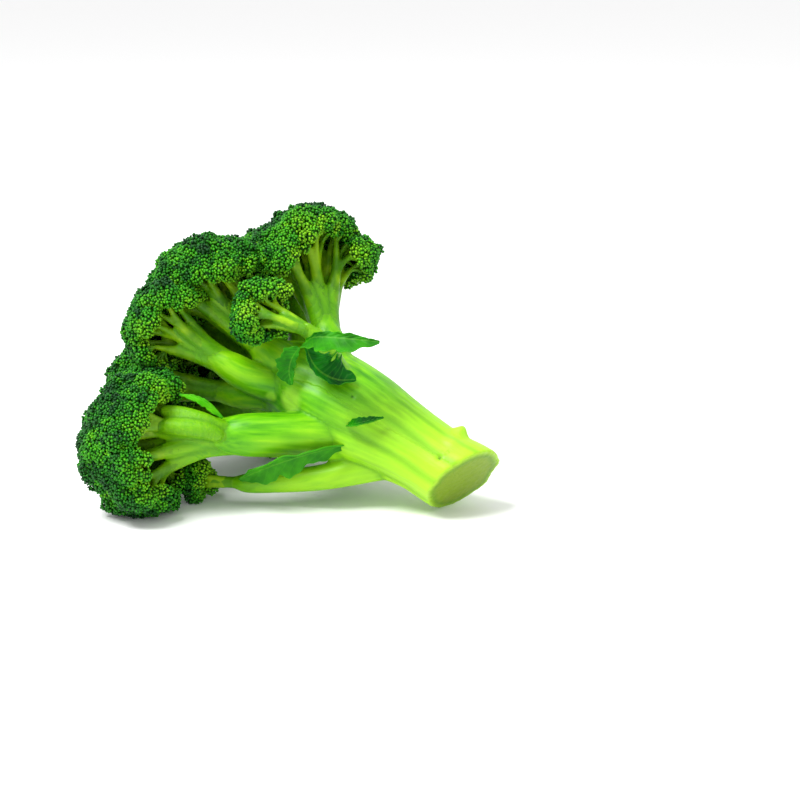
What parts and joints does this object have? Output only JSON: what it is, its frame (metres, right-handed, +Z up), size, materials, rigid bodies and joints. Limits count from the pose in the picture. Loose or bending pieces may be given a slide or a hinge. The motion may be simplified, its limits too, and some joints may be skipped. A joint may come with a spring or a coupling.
{
  "type": "broccoli head",
  "caption": "Head of broccoli lying on its side: a thick cut stalk that forks into branches, each crowned with tight green flower buds, with a few small leaves.",
  "frame": {"origin": "the middle of the head's footprint, on the surface that it lies on", "axes": "+Z up; +X along the stalk towards its cut end; the crown lies towards -X; -Y is the near side, where the branches show"},
  "size_m": [0.1872, 0.1722, 0.1329],
  "materials": {
    "stem": "smooth waxy pale green flesh, brighter towards the branches",
    "buds": "fine beads of dark blue-green to bright green flower buds",
    "leaf": "smooth green leaf with a pale rib and edge"
  },
  "bodies": {
    "root": {"stalk": "stem", "branch_near_low": "stem", "branch_near_mid": "stem", "branch_near_top": "stem", "branch_top": "stem", "branch_small_top": "stem", "branch_small_low": "stem", "branch_far_low": "stem", "branch_tip": "stem", "branch_far_top": "stem", "branch_tip_low": "stem", "branch_near_tip": "stem", "buds_near_low": "buds", "buds_near_mid": "buds", "buds_near_top": "buds", "buds_top": "buds", "buds_small_top": "buds", "buds_small_low": "buds", "buds_far_low": "buds", "buds_tip": "buds", "buds_far_top": "buds", "buds_tip_low": "buds", "buds_near_tip": "buds", "leaf_long": "leaf", "leaf_folded": "leaf", "leaf_flat": "leaf", "leaf_stalk": "leaf", "leaf_low": "leaf", "leaf_neck": "leaf", "leaf_far_broad": "leaf", "leaf_far_small": "leaf"}
  },
  "joints": []
}
